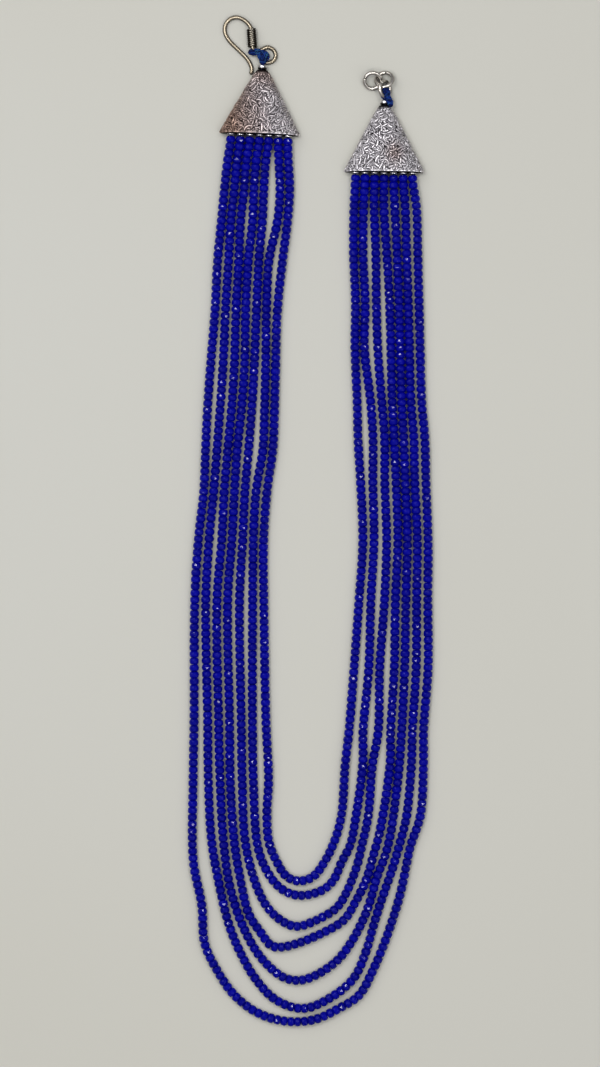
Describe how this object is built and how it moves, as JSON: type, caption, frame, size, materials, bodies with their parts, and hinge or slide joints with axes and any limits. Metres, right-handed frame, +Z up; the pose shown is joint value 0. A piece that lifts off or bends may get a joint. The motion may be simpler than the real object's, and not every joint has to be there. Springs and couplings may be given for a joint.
{
  "type": "beaded necklace",
  "caption": "Multi-strand necklace of faceted royal-blue glass beads between two triangular silver end caps, with a wire hook and linked jump rings, lying open",
  "frame": {"origin": "On the surface that the necklace lies on, under the middle of its outline", "axes": "+X across the necklace to the right as seen from above with the clasp end away from the viewer, +Y along its length towards the clasp end, +Z up from the surface"},
  "size_m": [0.1028, 0.4246, 0.0083],
  "materials": {
    "blue_glass": null,
    "silver": null,
    "aged_silver": null,
    "blue_thread": null
  },
  "bodies": {
    "root": {"strand_1": "blue_glass", "strand_2": "blue_glass", "strand_3": "blue_glass", "strand_4": "blue_glass", "strand_5": "blue_glass", "strand_6": "blue_glass", "strand_7": "blue_glass", "left_end_cap": "silver", "left_spacer_1": "silver", "left_spacer_2": "silver", "left_spacer_3": "silver", "left_spacer_4": "silver", "left_spacer_5": "silver", "left_spacer_6": "silver", "left_spacer_7": "silver", "left_collar": "silver", "left_thread_tie": "blue_thread", "right_end_cap": "silver", "right_spacer_1": "silver", "right_spacer_2": "silver", "right_spacer_3": "silver", "right_spacer_4": "silver", "right_spacer_5": "silver", "right_spacer_6": "silver", "right_spacer_7": "silver", "right_collar": "silver", "right_thread_tie": "blue_thread", "hook": "aged_silver", "hook_wrap": "aged_silver", "jump_ring_1": "silver", "jump_ring_2": "silver", "jump_ring_3": "silver"}
  },
  "joints": []
}
